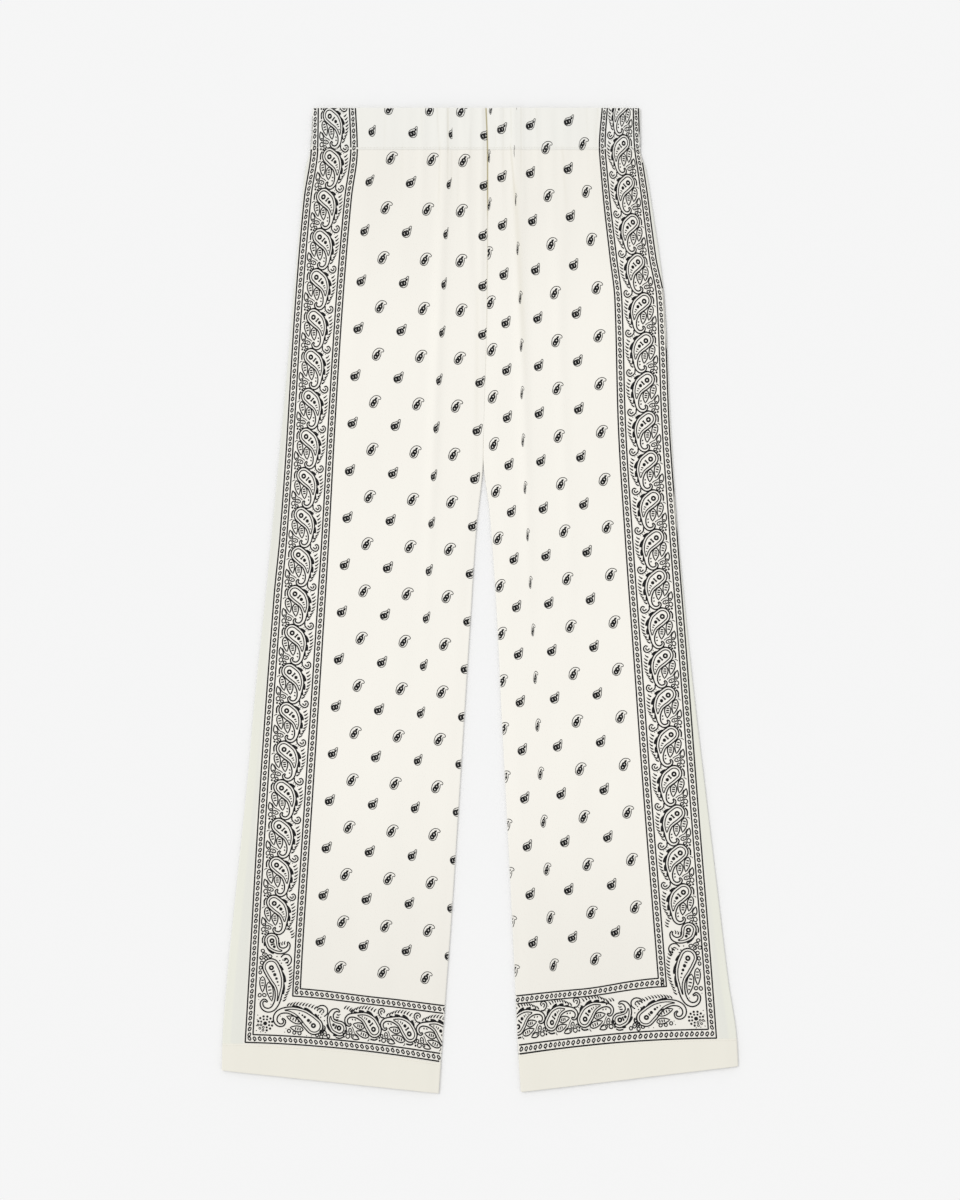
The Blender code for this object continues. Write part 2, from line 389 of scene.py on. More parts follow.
class Surface:
    """The outer face of one side of a leg, as a grid from the waist's edge to the hem's fold."""

    nominal_width = 215.0
    creased_from = 150.0
    gathered_reach = 110.0
    # Steps across, before and beyond where the creases start, and steps down.
    front_steps = (2.5, 1.0)
    back_steps = (7.0, 7.0)
    casing_step = 2.0
    gathered_step = 3.0
    smooth_step = 6.0
    hem_step = 3.0
    edge_offsets = (0.0, 0.12, 0.4, 0.8, 1.4, 2.4, 4.2)
    end_offsets = (0.0, 0.1, 0.35, 0.8, 1.6)
    seam_offsets = (0.02, 0.8, 1.6, 2.6)

    def __init__(self, leg, is_front):
        self.leg = leg
        self.is_front = is_front
        self.outward = 1.0 if is_front else -1.0
        outer_step, inner_step = self.front_steps if is_front else self.back_steps
        outer = crowded(0.0, self.creased_from, outer_step, self.edge_offsets)
        inner = crowded(self.creased_from, self.nominal_width, inner_step, (), self.edge_offsets)
        self.shares = np.array(outer + inner[1:]) / self.nominal_width
        upper = CASING_DEPTH + self.gathered_reach
        casing = crowded(0.0, CASING_DEPTH, self.casing_step, self.end_offsets, self.seam_offsets)
        gathered = crowded(CASING_DEPTH, upper, self.gathered_step, self.seam_offsets)
        smooth = crowded(upper, leg.hem_line, self.smooth_step, (), self.seam_offsets)
        ends = (self.seam_offsets, self.end_offsets)
        hem = crowded(leg.hem_line, leg.hem_fold, self.hem_step, *ends)
        self.levels = np.array(casing + gathered + smooth[1:] + hem)
        self.first_leg_row = len(casing)
        self.first_hem_row = len(self.levels) - len(hem)
        self.make_points()
        self.make_normals()

    def make_points(self):
        leg = self.leg
        share, level = np.meshgrid(self.shares, self.levels)
        x, down = on_leg(leg, share, level)
        side_x, inner_x = edges_at(leg, level)
        to_side = np.abs(x - side_x)
        to_inner = np.abs(inner_x - x)
        to_edge = np.minimum(to_side, to_inner)
        inner_drop = CENTRE_SEAM_DROP + (1.0 - CENTRE_SEAM_DROP) * within(CROTCH_OPENING, level)
        inner_round = 1.0 - inner_drop * (1.0 - quarter_round(to_inner / EDGE_ROLL))
        edge_round = quarter_round(to_side / EDGE_ROLL) * inner_round
        height_at = front_height if self.is_front else back_height
        height = height_at(leg, x, down, level, to_edge)
        middle = layer_thickness(leg, level) + LAYER_GAP / 2
        start = middle + self.outward * (EDGE_SPLIT + EDGE_THIN)
        height = start + (height - start) * edge_round
        self.share_of_shell = EDGE_THIN + (1.0 - EDGE_THIN) * edge_round
        self.x = x
        self.down = down
        self.to_side = to_side
        self.to_inner = to_inner
        self.points = np.stack([x, HALF_LENGTH - down, height], axis=-1)

    def make_normals(self):
        along = np.gradient(self.points, axis=0)
        across = np.gradient(self.points, axis=1)
        normal = unit_vectors(np.cross(across, along))
        self.normals = normal * np.sign(normal[..., 2:]) * self.outward

    def at(self, share, level, lift):
        """Points on the cloth, lifted off it along its own slope."""
        row = np.clip(np.searchsorted(self.levels, level) - 1, 0, len(self.levels) - 2)
        column = np.clip(np.searchsorted(self.shares, share) - 1, 0, len(self.shares) - 2)
        lower = (level - self.levels[row]) / (self.levels[row + 1] - self.levels[row])
        further = (share - self.shares[column]) / (self.shares[column + 1] - self.shares[column])
        lower = lower[:, None]
        further = further[:, None]

        def mixed(grid):
            above = grid[row, column] * (1 - further) + grid[row, column + 1] * further
            below = grid[row + 1, column] * (1 - further) + grid[row + 1, column + 1] * further
            return above * (1 - lower) + below * lower

        return mixed(self.points) + unit_vectors(mixed(self.normals)) * lift


# ---------------------------------------------------------------- the cloth's colours

LIGHT = 1.035


def linear(*colour):
    """The cloth's own colour that shows as this one, of 255, in the studio's light."""
    values = np.array(colour, float) / 255.0
    return np.where(values <= 0.04045, values / 12.92, ((values + 0.055) / 1.055) ** 2.4) / LIGHT


FIELD_TONE = linear(246, 243, 235)
TOP_TONE = linear(241, 238, 230)
LOW_TONE = linear(237, 234, 226)
HEM_TONE = linear(235, 232, 221)
# Painted shade: the darker tan laid into the creases' troughs and beside the front's centre seam, where
# shadow falls.
PAINTED_SHADE_TONE = linear(186, 176, 140)
MARGIN_TONE = linear(228, 228, 220)
ALLOWANCE_TONE = linear(232, 232, 221)
CASING_TONE = linear(239, 238, 232)

# Where each tone fades in or out, down the leg or away from an edge.
TOP_FADE = Span(60.0, 200.0)
LOW_RISE = Span(690.0, 330.0)
MARGIN_EDGE = Span(0.5, 1.5)
ALLOWANCE_EDGE = Span(9.0, 1.5)
ALLOWANCE_RISE = Span(420.0, 300.0)
# Painted shade in the creases: how strongly the shade colour is laid in for each millimetre a crease
# sinks, and at most how much.
CREASE_SHADE = 0.45
DEEPEST_CREASE = 0.5
# Painted shade: a narrow darker line beside the front's centre seam, weaker below one level and fading
# out further down.
SEAM_SHADE = Span(0.2, 1.1)
SEAM_SHADE_DROP = 0.75
SEAM_SHADE_LOWER = Span(95.0, 30.0)
SEAM_SHADE_FADE = Span(150.0, 200.0)
TONE_STEP = 0.8


def blend(first, second, share):
    return first + (second - first) * share[..., None]


def cloth_tone(surface, rows):
    """The cloth's colour at each point: single layers are greyer than turned and doubled ones, and on
    the front, painted shade darkens the creases and a line beside the centre seam.
    """
    leg = surface.leg
    level = surface.levels[rows][:, None] + 0.0 * surface.shares[None, :]
    x = surface.x[rows]
    into_field = (x - read(leg.band, "line_x", level)) * leg.inward
    beyond_band = -into_field - read(leg.band, "width", level)
    doubled = 1.0 - within(ALLOWANCE_EDGE, surface.to_side[rows])
    tone = blend(FIELD_TONE + 0.0 * x[..., None], TOP_TONE, 1.0 - within(TOP_FADE, level))
    tone = blend(tone, LOW_TONE, within(LOW_RISE, level))
    tone = blend(tone, MARGIN_TONE, within(MARGIN_EDGE, beyond_band))
    tone = blend(tone, ALLOWANCE_TONE, doubled * within(ALLOWANCE_RISE, level))
    tone = blend(tone, CASING_TONE, 1.0 - ease((level - CASING_DEPTH) / TONE_STEP + 0.5))
    if surface.is_front:
        # Painted shade: the cloth is coloured darker along the creases' troughs, by how deep they sink.
        sunk = -folds_at(FRONT_CREASES, x, surface.down[rows])
        tone = blend(tone, PAINTED_SHADE_TONE, np.clip(CREASE_SHADE * sunk, 0.0, DEEPEST_CREASE))
        # Painted shade: a darker line along the front's centre seam, where the lapped edge shades it.
        painted_seam_shade = 1.0 - within(SEAM_SHADE, surface.to_inner[rows])
        painted_seam_shade = painted_seam_shade * (1.0 - SEAM_SHADE_DROP * within(SEAM_SHADE_LOWER, level))
        tone = blend(tone, PAINTED_SHADE_TONE, painted_seam_shade * (1.0 - within(SEAM_SHADE_FADE, level)))
    return blend(tone, HEM_TONE, ease((level - leg.hem_line) / TONE_STEP + 0.5))


# ---------------------------------------------------------------- cloth pieces

# A sewn stretch of one side of a leg: its node and slot, its rows and levels, its shell, which of its
# ends are folded, how it is held and whether it carries the print.
Stretch = namedtuple(
    "Stretch", "node slot rows levels thickness folded_top folded_end held has_print"
)


def stretches(surface):
    """The casing, the panel and the hem."""
    leg = surface.leg
    face = "front" if surface.is_front else "back"
    leg_row = surface.first_leg_row
    hem_row = surface.first_hem_row
    casing = ((0.0, CASING_DEPTH), CASING_SHELL, True, False, "gathered", False)
    panel = ((CASING_DEPTH, leg.hem_line), PANEL_SHELL, False, False, "laid", True)
    hem = ((leg.hem_line, leg.hem_fold), HEM_SHELL, False, True, "laid", False)
    return rows_of(
        Stretch,
        (f"waist_{face}_{leg.side}", "printed_cloth", slice(0, leg_row), *casing),
        (f"{face}_leg_{leg.side}", "printed_cloth", slice(leg_row, hem_row), *panel),
        (f"hem_{face}_{leg.side}", "hem_cloth", slice(hem_row, None), *hem),
    )


def border_loop(rows, columns):
    loop = list(range(columns))
    loop += [row * columns + columns - 1 for row in range(1, rows)]
    loop += [(rows - 1) * columns + column for column in range(columns - 2, -1, -1)]
    loop += [row * columns for row in range(rows - 2, 0, -1)]
    return loop


def link_object(name, data):
    new_object = bpy.data.objects.new(name, data)
    bpy.context.scene.collection.objects.link(new_object)
    return new_object


def add_mesh(name, points, faces, material):
    mesh = bpy.data.meshes.new(name)
    mesh.from_pydata((np.asarray(points) * MM).tolist(), [], faces)
    mesh.materials.append(material)
    mesh.shade_smooth()
    mesh.update()
    piece = link_object(name, mesh)
    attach(piece, "root")
    return piece


def end_round(levels, stretch):
    """How much of the shell's thickness is left towards its folded ends."""
    share = np.ones_like(levels)
    reach = stretch.thickness / 2
    if stretch.folded_top:
        share *= np.maximum(FOLDED_END, quarter_round((levels - levels[0]) / reach))
    if stretch.folded_end:
        share *= np.maximum(FOLDED_END, quarter_round((levels[-1] - levels) / reach))
    return share[:, None]


def add_cloth(surface, stretch, material):
    """One sewn piece as a thin closed shell, with its colour at each point."""
    rows = stretch.rows
    outer = surface.points[rows]
    inward = -surface.normals[rows]
    rounding = end_round(surface.levels[rows], stretch)
    full = stretch.thickness * surface.share_of_shell[rows]
    sunk = full * (1.0 - rounding) / 2
    outer_points = outer + inward * sunk[..., None]
    inner_points = outer_points + inward * (full * rounding)[..., None]
    row_count, columns = full.shape
    points = np.concatenate([outer_points.reshape(-1, 3), inner_points.reshape(-1, 3)])
    beneath = row_count * columns
    faces = []
    for row in range(row_count - 1):
        for column in range(columns - 1):
            corner = row * columns + column
            quad = (corner, corner + columns, corner + columns + 1, corner + 1)
            faces.append(quad)
            faces.append(tuple(beneath + index for index in reversed(quad)))
    loop = border_loop(row_count, columns)
    for here, there in zip(loop, loop[1:] + loop[:1]):
        faces.append((here, there, there + beneath, here + beneath))
    if (surface.leg.inward < 0) == surface.is_front:
        faces = [tuple(reversed(face)) for face in faces]
    piece = add_mesh(f"{stretch.node}_cloth", points, faces, material)
    piece.data.set_sharp_from_angle(angle=math.radians(SHARP_ANGLE))
    # The colour at each point includes the painted shade of the creases and the centre seam.
    tone = cloth_tone(surface, rows).reshape(-1, 3)
    colours = np.ones((2 * beneath, 4))
    colours[:, :3] = np.concatenate([tone, tone])
    layer = piece.data.color_attributes.new("tone", "FLOAT_COLOR", "POINT")
    layer.data.foreach_set("color", colours.ravel())
    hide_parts(stretch.node)
    return piece


# ---------------------------------------------------------------- drawing in the pattern's plane

def distance_along(points):
    """How far each point lies along a line of points."""
    steps = np.linalg.norm(np.diff(points, axis=0), axis=1)
    return np.concatenate([[0.0], np.cumsum(steps)])


def evenly(curve, step):
    along = distance_along(curve)
    count = max(2, int(round(along[-1] / step)) + 1)
    marks = np.linspace(0.0, along[-1], count)
    return np.stack([np.interp(marks, along, curve[:, axis]) for axis in (0, 1)], axis=1)


def smooth_path(points, step=1.3):
    """A rounded path through given points, with even steps."""
    points = np.asarray(points, float)
    lengths = np.linalg.norm(np.diff(points, axis=0), axis=1)
    keys = np.concatenate([[0.0], np.cumsum(np.sqrt(np.maximum(lengths, 1e-6)))])
    fine = np.linspace(0.0, keys[-1], 24 * len(points))
    padded = np.vstack([2 * points[0] - points[1], points, 2 * points[-1] - points[-2]])
    place = np.clip(np.searchsorted(keys, fine, side="right") - 1, 0, len(points) - 2)
    share = ((fine - keys[place]) / (keys[place + 1] - keys[place]))[:, None]
    a, b, c, d = (padded[place + offset] for offset in range(4))
    bend = (2 * a - 5 * b + 4 * c - d) * share**2 + (3 * b - a - 3 * c + d) * share**3
    return evenly(0.5 * (2 * b + (c - a) * share + bend), step)


def turned(angle):
    cosine = math.cos(math.radians(angle))
    sine = math.sin(math.radians(angle))
    return np.array([[cosine, -sine], [sine, cosine]])


def sideways(vectors):
    """The same vectors, turned a quarter to the left."""
    return np.stack([-vectors[..., 1], vectors[..., 0]], axis=-1)


def ring_path(centre, across, along, turn=0.0, count=12):
    """Points round an ellipse, turned by an angle in degrees."""
    angles = np.linspace(0.0, 2.0 * math.pi, count, endpoint=False)
    shape = np.stack([across * np.cos(angles), along * np.sin(angles)], axis=1)
    return shape @ turned(turn).T + np.asarray(centre, float)


def leaf_path(foot, tip, width, count):
    """The outline of a leaf, round at its foot and pointed at its tip."""
    foot = np.asarray(foot, float)
    axis = np.asarray(tip, float) - foot
    share = np.linspace(0.0, 1.0, count + 1)[:, None]
    bulge = width / 2 * np.sin(math.pi * share**0.75) ** 0.8 * sideways(unit_vectors(axis))
    middle = foot + axis * share
    return np.vstack([middle + bulge, (middle - bulge)[-2:0:-1]])


# How much the print's lines have spread into the cloth.
WEIGHT = 1.25


class Ink:
    """Flat marks in one plane, as points and triangles."""

    def __init__(self):
        self.points = []
        self.triangles = []
        self.count = 0

    def add(self, points, triangles):
        self.points.append(points)
        self.triangles.append(triangles + self.count)
        self.count += len(points)

    def stroke(self, path, width, closed=False):
        path = np.asarray(path, float)
        if closed:
            direction = np.roll(path, -1, axis=0) - np.roll(path, 1, axis=0)
        else:
            direction = np.gradient(path, axis=0)
        count = len(path)
        half = np.broadcast_to(np.asarray(width, float) * WEIGHT / 2, (count,))[:, None]
        reach = sideways(unit_vectors(direction)) * half
        here = np.arange(count if closed else count - 1)
        there = (here + 1) % count
        first = np.stack([here, there, there + count], axis=1)
        second = np.stack([here, there + count, here + count], axis=1)
        self.add(np.concatenate([path + reach, path - reach]), np.concatenate([first, second]))

    def curve(self, points, width):
        self.stroke(smooth_path(points), width)

    def fill(self, outline):
        count = len(outline)
        here = np.arange(count)
        middle = np.full(count, count)
        points = np.vstack([outline, outline.mean(axis=0)])
        self.add(points, np.stack([here, (here + 1) % count, middle], axis=1))

    def dots(self, places, radius=0.55, count=6):
        for place in places:
            self.fill(ring_path(place, radius, radius, count=count))

    def arrays(self):
        return np.concatenate(self.points), np.concatenate(self.triangles)


class Paisley:
    """A curled teardrop, from rows of (u, v, half width) that run from its head to its tail."""

    def __init__(self, rows):
        rows = np.asarray(rows, float)
        spine = rows[:, :2]
        self.path = smooth_path(spine, 0.8)
        keys = distance_along(spine)
        marks = np.linspace(0.0, keys[-1], len(self.path))
        self.halves = np.interp(marks, keys, rows[:, 2])
        self.direction = unit_vectors(np.gradient(self.path, axis=0))
        self.over = sideways(self.direction)

    def outline(self, inset, step=1.3):
        """The closed line round it, this far inside its edge."""
        halves = self.halves - inset
        kept = halves > 0.25
        last = len(kept) if kept.all() else int(np.argmin(kept))
        halves = halves[:last, None]
        path = self.path[:last]
        over = self.over[:last]
        head = math.atan2(self.direction[0][1], self.direction[0][0])
        angles = np.linspace(head + math.pi / 2, head + 1.5 * math.pi, 16)[1:-1]
        cap = path[0] + halves[0] * np.stack([np.cos(angles), np.sin(angles)], axis=1)
        ring = np.vstack([cap, path - over * halves, (path + over * halves)[::-1]])
        return evenly(np.vstack([ring, ring[:1]]), step)[:-1]

    def beside(self, arc, side):
        """The line that an arc follows beside it."""
        first = int(arc.start * (len(self.path) - 1))
        last = int(arc.end * (len(self.path) - 1)) + 1
        offset = np.linspace(arc.first_offset, arc.last_offset, last - first)
        reach = (self.halves[first:last] + offset)[:, None]
        return self.path[first:last] + side * self.over[first:last] * reach

    def place(self, share):
        """A point on the spine and the directions along and across it there."""
        index = int(share * (len(self.path) - 1))
        return self.path[index], self.direction[index], self.over[index]


LINE = 1.2
FINE_LINE = 0.95
POD_LINE = 1.08
ROPE = 2.75
EYE = 1.95
EYE_LINE = 1.6
LEAF = np.array([4.0, -3.3])
LEAF_PITCH = 3.5
LEAF_BOW = (0.3, 0.3)
LEAF_LINE = 1.3
POD_FIRST_BAR = 0.24
POD_BAR_PITCH = 0.17
POD_BAR_REACH = 0.25
POD_BAR_LINE = 1.1
CAP = 1.1

# A bold stroke beside a paisley, from one share of its length to another, and how far out it lies.
Arc = namedtuple("Arc", "start end first_offset last_offset width")
Bar = namedtuple("Bar", "share length width")
Star = namedtuple("Star", "share radius")
Pod = namedtuple("Pod", "foot tip width bars")
Petal = namedtuple("Petal", "u v across along")


def draw_blade(ink, path, width):
    """A stroke that starts thin and is thickest near its end."""
    share = np.linspace(0.0, 1.0, len(path))
    ink.stroke(path, width * np.interp(share, (0.0, 0.4, 0.85, 1.0), (0.2, 0.8, 1.0, 0.7)))


def draw_bar(ink, shape, bar, has_caps=False):
    """A short bar across the middle of a paisley, which may have a cap at each end."""
    point, along, over = shape.place(bar.share)
    lean = (over - along * 0.1) * bar.length / 2
    ink.stroke([point - lean, point + lean], bar.width)
    if has_caps:
        for end in (point - lean, point + lean):
            ink.stroke([end - along * CAP, end + along * CAP], bar.width * 0.6)


def draw_paisley(ink, rows, arcs, stars, bars, outer_side=-1.0):
    """A double outline, an eye, marks down its middle and bold arcs along its outer side."""
    shape = Paisley(rows)
    ink.stroke(shape.outline(0.0), LINE, closed=True)
    ink.stroke(shape.outline(ROPE), FINE_LINE, closed=True)
    ink.stroke(ring_path((0.0, 0.0), EYE, EYE, count=14), EYE_LINE, closed=True)
    for arc in arcs:
        draw_blade(ink, shape.beside(arc, outer_side), arc.width)
    for star in stars:
        centre = shape.place(star.share)[0]
        for angle in (20.0, 80.0, 140.0):
            arm = turned(angle) @ (star.radius, 0.0)
            ink.stroke([centre - arm, centre + arm], star.radius * 0.6)
    for bar in bars:
        draw_bar(ink, shape, bar)
    return shape


def draw_pods(ink, pods):
    """Leaves with bars across their middle."""
    for pod in pods:
        ink.stroke(leaf_path(pod.foot, pod.tip, pod.width, 9), POD_LINE, closed=True)
        foot = np.asarray(pod.foot, float)
        axis = np.asarray(pod.tip, float) - foot
        over = sideways(unit_vectors(axis))
        for index in range(pod.bars):
            share = POD_FIRST_BAR + POD_BAR_PITCH * index
            reach = over * pod.width * POD_BAR_REACH * math.sin(math.pi * share**0.75)
            middle = foot + axis * share
            ink.stroke([middle - reach, middle + reach], POD_BAR_LINE)


def draw_fern(ink, path):
    """Slanted leaves set along a path, each thickest towards its foot."""
    for foot in smooth_path(path, LEAF_PITCH):
        bow = foot + LEAF * 0.5 + LEAF_BOW
        draw_blade(ink, smooth_path([foot + LEAF, bow, foot], 0.9), LEAF_LINE)


def draw_petals(ink, petals):
    """Small loops, with a dot inside where there is room."""
    for petal in petals:
        centre = (petal.u, petal.v)
        ink.stroke(ring_path(centre, petal.across, petal.along, 15.0, 11), 1.0, closed=True)
        if petal.across > 2.6:
            ink.dots([centre], 0.8)


def draw_curl(ink, middle):
    """The curled leaf between two paisleys, from the middle of its curl."""
    outer = [
        (-6.4, -3.6), (-6.2, 0.0), (-3.4, 2.8), (0.0, 3.8), (2.8, 1.8), (3.2, -1.4), (1.0, -3.6),
        (-1.4, -2.4),
    ]
    inner = [(-3.2, -0.4), (-0.6, 1.4), (1.0, -0.2), (0.2, -1.4)]
    ink.curve(np.array(outer) + middle, 1.15)
    ink.curve(np.array(inner) + middle, 1.1)


def unit_motif():
    """One repeat of the border.  u runs towards the field, v towards the tail, from the eye."""
    ink = Ink()
    rows = [
        (-0.3, -0.9, 8.3), (3.2, 1.6, 8.5), (6.4, 4.1, 8.4), (9.3, 7.6, 7.2), (11.5, 11.8, 5.6),
        (12.5, 17.0, 3.8), (12.7, 22.0, 2.4), (12.2, 26.8, 1.9), (10.6, 30.4, 1.7),
        (7.2, 32.8, 1.6), (3.4, 32.2, 1.4), (1.2, 29.4, 1.1), (2.8, 26.8, 0.8),
    ]
    arcs = rows_of(
        Arc,
        (0.08, 0.19, 0.3, 1.9, 2.1), (0.225, 0.345, 0.6, 1.7, 2.7), (0.38, 0.49, 1.2, 1.4, 2.5),
        (0.515, 0.59, 0.9, 1.1, 1.6),
    )
    bars = rows_of(Bar, (0.285, 2.6, 1.0), (0.335, 2.0, 0.9), (0.385, 1.5, 0.9))
    pods = rows_of(
        Pod,
        ((-8.4, 5.2), (-4.2, 20.6), 6.6, 3), ((1.0, 10.9), (2.9, 24.3), 6.8, 3),
        ((-9.6, 26.0), (-12.0, 16.4), 4.6, 1),
    )
    fern = [
        (18.6, 0.6), (19.8, 4.0), (20.4, 8.0), (20.6, 12.0), (20.2, 16.0), (19.2, 20.0),
        (17.2, 24.0), (15.4, 28.0),
    ]
    petals = rows_of(Petal, (-5.0, 27.2, 3.2, 1.9), (-10.4, 30.0, 2.1, 2.4), (-6.0, 32.4, 1.7, 1.4))
    shape = draw_paisley(ink, rows, arcs, [Star(0.205, 1.9)], bars)
    draw_bar(ink, shape, Bar(0.13, 4.2, 1.3), has_caps=True)
    draw_pods(ink, pods)
    draw_fern(ink, fern)
    draw_curl(ink, (20.0, -8.6))
    ink.dots([(12.9, -6.6), (15.2, -4.6), (17.7, -3.4), (10.0, -9.6), (12.6, -11.6)])
    draw_petals(ink, petals)
    ink.dots([(-11.2, 34.6), (-8.2, 35.2)], 1.3)
    ink.curve([(-9.6, 17.4), (-6.2, 22.2), (-2.8, 23.6), (0.2, 25.6)], 0.75)
    draw_blade(ink, smooth_path([(-3.8, -8.9), (0.4, -9.6), (5.4, -7.9)]), 1.2)
    ink.curve([(-9.2, -5.4), (-11.2, -2.2), (-10.9, 3.2)], 1.35)
    ink.curve([(-13.2, 6.4), (-11.8, 4.9), (-10.0, 4.7)], 0.7)
    for v in (21.6, 25.0):
        ink.stroke([(7.0, v), (8.6, v + 0.8)], 1.1)
    return ink


def link_motif(turn, facing):
    """One link of the chain bands: a leaning loop with a short tail, at one end or the other."""
    ink = Ink()
    ink.stroke(ring_path((0.0, 0.0), 1.3, 2.05, turn, 12), 1.05, closed=True)
    tail = np.array([(1.5, 0.7), (1.9, 2.0)]) * facing
    ink.stroke(tail @ turned(turn).T, 1.0)
    return ink


def small_paisley_motif():
    """The short one beside each corner, whose tail turns the other way."""
    ink = Ink()
    rows = [
        (-0.4, -0.6, 7.9), (1.4, 4.6, 7.4), (6.4, 9.4, 4.4), (12.6, 10.4, 3.0), (17.6, 7.6, 2.2),
        (19.2, 3.0, 1.3), (17.6, 0.4, 0.8),
    ]
    arcs = rows_of(Arc, (0.0, 0.14, 0.4, 1.4, 2.0), (0.19, 0.38, 0.6, 1.2, 2.1))
    petals = rows_of(
        Petal,
        (-9.6, 12.0, 1.9, 1.7), (-7.0, 16.2, 2.8, 1.8), (-1.2, 17.6, 2.2, 1.6),
        (-10.8, 20.2, 1.9, 1.8), (-5.6, 20.6, 1.7, 1.5),
    )
    loop = [(19.6, 27.0), (22.4, 23.4), (22.8, 18.4), (19.6, 14.6), (14.6, 14.4), (11.4, 17.4)]
    shape = draw_paisley(ink, rows, arcs, [Star(0.26, 1.7)], [], 1.0)
    draw_bar(ink, shape, Bar(0.16, 3.6, 1.3), has_caps=True)
    for index in range(3):
        root = np.array([9.0 + 2.7 * index, 5.4 - 1.0 * index])
        draw_blade(ink, smooth_path([root + (0.6, -4.6), root + (-0.5, -2.2), root]), 1.3)
    draw_fern(ink, [(17.6, -13.6), (20.4, -9.6), (21.2, -5.0)])
    ink.curve(loop, 1.15)
    ink.curve([(18.8, 24.6), (19.4, 20.8), (16.8, 18.4), (14.6, 20.0)], 1.0)
    ink.dots([(11.4, 17.6), (13.4, 20.8), (10.0, 21.8), (6.6, 17.4), (12.0, 24.6)], 0.8)
    draw_petals(ink, petals)
    ink.curve([(-9.2, -5.0), (-10.8, -1.6), (-10.4, 3.4)], 1.2)
    return ink


def corner_paisley_motif(rows, pods, fern, petals, dots):
    """A large one that runs into the corner."""
    ink = Ink()
    arcs = rows_of(
        Arc, (0.02, 0.12, 0.3, 1.3, 2.1), (0.14, 0.27, 0.7, 1.2, 2.6), (0.29, 0.42, 0.9, 1.0, 2.2)
    )
    stars = rows_of(Star, (0.125, 1.9), (0.19, 1.5), (0.24, 1.1))
    shape = draw_paisley(ink, rows, arcs, stars, [Bar(0.29, 1.7, 0.9)])
    draw_bar(ink, shape, Bar(0.075, 3.4, 1.2))
    draw_pods(ink, pods)
    draw_fern(ink, fern)
    draw_petals(ink, petals)
    ink.dots(dots)
    return ink


def vertical_corner_motif():
    """The one at the foot of the side's border."""
    rows = [
        (-0.4, -0.8, 9.4), (3.2, 5.6, 9.3), (6.6, 12.6, 8.2), (9.0, 19.4, 6.0), (9.6, 26.0, 4.2),
        (9.2, 32.7, 3.3), (7.7, 39.6, 2.9), (4.0, 45.8, 2.5), (-1.4, 48.2, 2.1),
        (-7.0, 46.0, 1.7), (-9.2, 40.6, 1.4), (-6.4, 36.8, 1.1), (-2.8, 38.6, 0.8),
    ]
    pods = rows_of(Pod, ((-2.6, 16.6), (2.4, 37.6), 7.4, 4), ((-9.4, 10.4), (-8.6, 28.0), 6.2, 3))
    fern = [
        (13.4, -9.0), (17.0, -4.0), (19.4, 2.0), (20.4, 9.0), (20.2, 17.0), (18.6, 25.0),
        (16.0, 32.0), (14.6, 37.0),
    ]
    petals = rows_of(
        Petal,
        (-11.0, -5.0, 1.8, 1.8), (-12.0, 0.6, 1.6, 1.9), (-12.2, 6.0, 1.5, 1.8),
        (-6.4, 31.2, 2.0, 1.7), (-11.6, 31.6, 1.7, 2.0),
    )
    dots = [(-12.4, -9.6), (-9.0, -9.8), (-12.6, 12.0), (-12.4, 36.6), (1.4, 41.2), (13.2, 35.0)]
    return corner_paisley_motif(rows, pods, fern, petals, dots)


def horizontal_corner_motif():
    """The one at the start of the hem's border."""
    rows = [
        (-0.4, -0.8, 9.6), (5.2, 5.6, 9.0), (10.4, 12.0, 7.4), (14.2, 20.0, 5.2),
        (15.6, 29.0, 3.4), (13.6, 37.4, 2.5), (8.6, 42.0, 2.2), (2.4, 42.2, 1.9),
        (-1.6, 38.4, 1.6), (-1.2, 33.6, 1.3), (3.0, 32.0, 1.0), (5.6, 34.8, 0.8),
    ]
    pods = rows_of(Pod, ((2.4, 12.6), (8.4, 30.0), 7.4, 4), ((-5.6, 11.0), (-3.8, 25.6), 6.4, 3))
    fern = [(15.0, -6.0), (18.6, 0.0), (20.8, 7.0), (21.6, 14.0), (21.8, 22.0), (20.2, 30.0)]
    petals = rows_of(
        Petal,
        (-8.2, -9.6, 1.9, 1.7), (-3.4, -11.6, 1.8, 1.5), (-10.4, -4.6, 1.6, 1.8),
        (-9.6, 15.0, 1.8, 1.8), (-9.4, 20.8, 1.7, 1.7), (-7.8, 26.8, 1.9, 1.7),
    )
    dots = [(-11.6, 1.8), (-11.8, 7.0), (-5.4, 30.2), (-9.4, 31.4), (8.4, 37.0)]
    return corner_paisley_motif(rows, pods, fern, petals, dots)


# The flower's rings of petals, and between which angles they are open loops.
Ring = namedtuple("Ring", "count radius petal")
ROSETTE_RINGS = rows_of(Ring, (8, 4.8, 1.35), (12, 8.0, 1.5))
LOOPS_FROM = 95.0
LOOPS_TO = 190.0


def rosette_motif():
    """The flower in the corner, with a few dots round it."""
    ink = Ink()
    ink.dots([(0.0, 0.0)], 2.3, 10)
    for ring in ROSETTE_RINGS:
        for index in range(ring.count):
            angle = 360.0 * (index + 0.5) / ring.count
            place = turned(angle) @ (ring.radius, 0.0)
            if LOOPS_FROM < angle < LOOPS_TO:
                ink.stroke(ring_path(place, 1.1, 1.1, count=8), 0.75, closed=True)
            else:
                ink.dots([place], ring.petal, 5)
    ink.dots([(-9.6, 3.0), (-9.4, 8.4), (-4.6, 9.6), (0.6, 10.2), (-9.0, -4.0), (-8.6, -9.0)], 0.65)
    return ink


